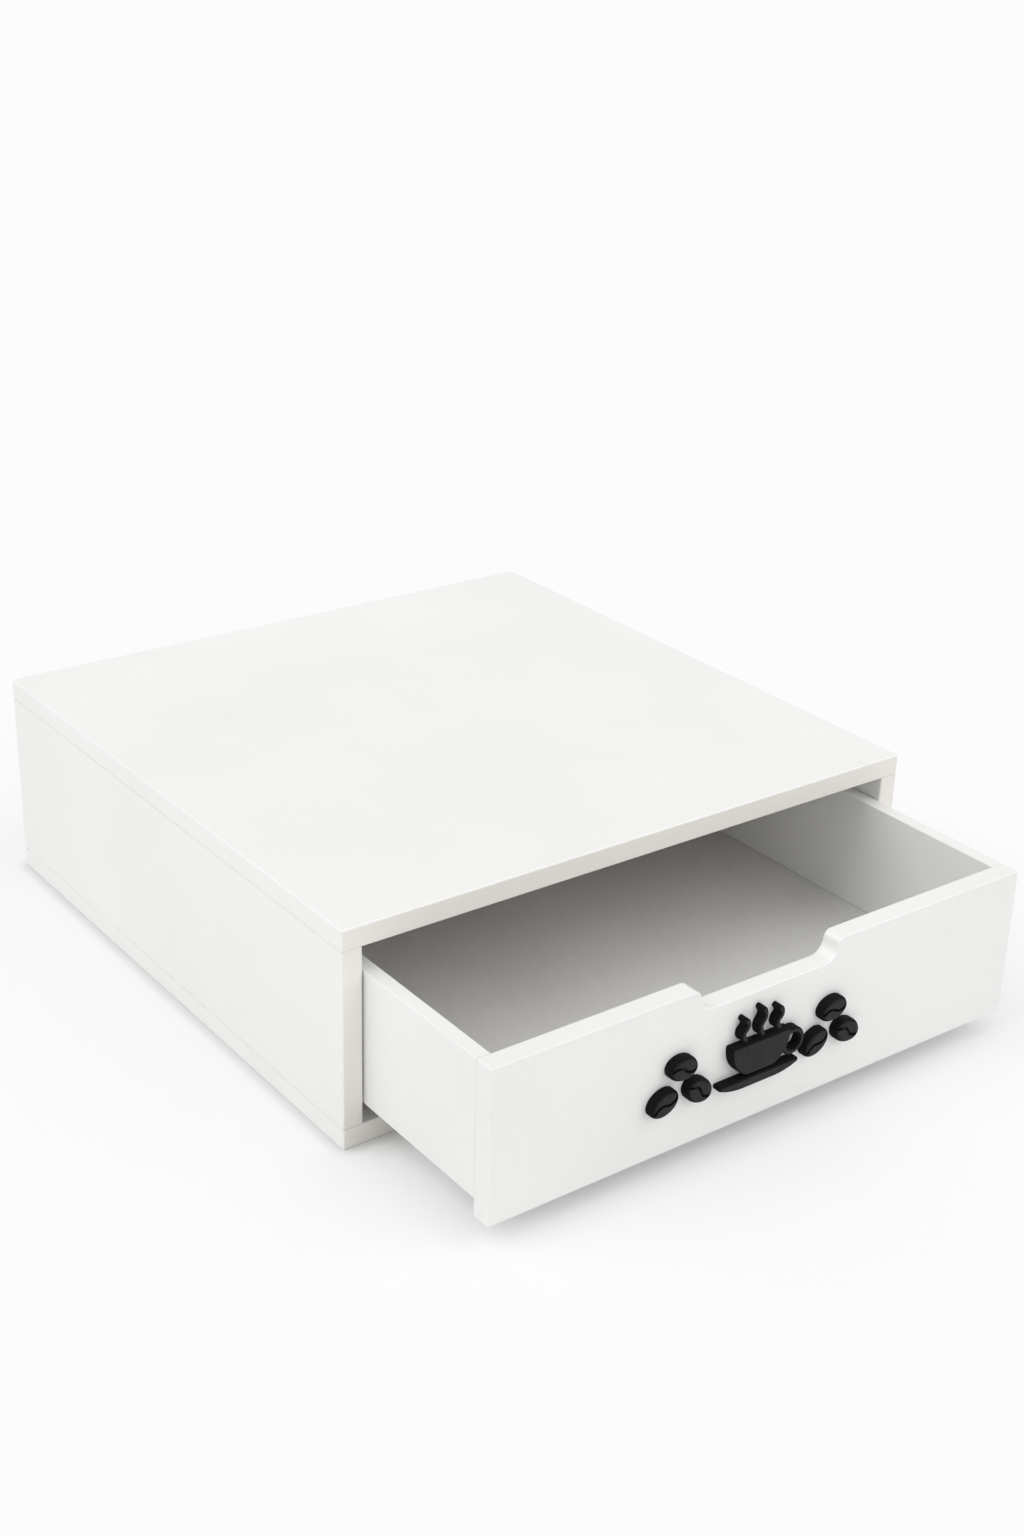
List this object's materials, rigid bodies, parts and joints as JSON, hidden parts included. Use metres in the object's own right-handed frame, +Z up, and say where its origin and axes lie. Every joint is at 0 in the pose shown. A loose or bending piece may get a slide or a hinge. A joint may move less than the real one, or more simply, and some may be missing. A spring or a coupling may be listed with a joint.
{
  "type": "coffee pod organizer",
  "caption": "Low square white cabinet with a flat top for a coffee machine and a full-width pod drawer with a finger notch and a raised black ornament.",
  "frame": {"origin": "centre of the base panel's underside", "axes": "+Z up, the drawer opens towards -Y, +X to the right seen from the front"},
  "size_m": [0.3, 0.3885, 0.1],
  "materials": {
    "white_lacquer": "satin white lacquer on fibreboard",
    "white_hardboard": "thin white-faced hardboard",
    "plain_wood": "planed, unlacquered",
    "steel": "zinc plated",
    "soft_pad": "matt, translucent",
    "black_ornament": "satin black"
  },
  "bodies": {
    "cabinet": {"top_panel": "white_lacquer", "base_panel": "white_lacquer", "left_side_panel": "white_lacquer", "right_side_panel": "white_lacquer", "back_panel": "white_hardboard", "runner_left": "plain_wood", "runner_right": "plain_wood", "kicker_left": "plain_wood", "kicker_right": "plain_wood", "stop_batten": "plain_wood", "top_dowels": "plain_wood", "base_screws": "steel", "back_panel_brads": "steel", "runner_brads": "steel", "kicker_brads": "steel", "batten_brads": "steel", "bumper_left": "soft_pad", "bumper_right": "soft_pad"},
    "drawer": {"drawer_front": "white_lacquer", "drawer_left_side": "white_lacquer", "drawer_right_side": "white_lacquer", "drawer_back": "white_lacquer", "drawer_bottom": "white_hardboard", "front_dowels": "plain_wood", "back_dowels": "plain_wood", "bottom_brads": "steel", "ornament_saucer": "black_ornament", "ornament_cup": "black_ornament", "ornament_steam_left": "black_ornament", "ornament_steam_middle": "black_ornament", "ornament_steam_right": "black_ornament", "ornament_bean_left_inner": "black_ornament", "ornament_bean_left_outer": "black_ornament", "ornament_bean_left_upper": "black_ornament", "ornament_bean_right_inner": "black_ornament", "ornament_bean_right_outer": "black_ornament", "ornament_bean_right_upper": "black_ornament"}
  },
  "joints": [
    {"name": "drawer_slide", "type": "slide", "parent": "cabinet", "child": "drawer", "axis": [0, -1, 0], "range_m": [-0.084, 0.116]}
  ]
}
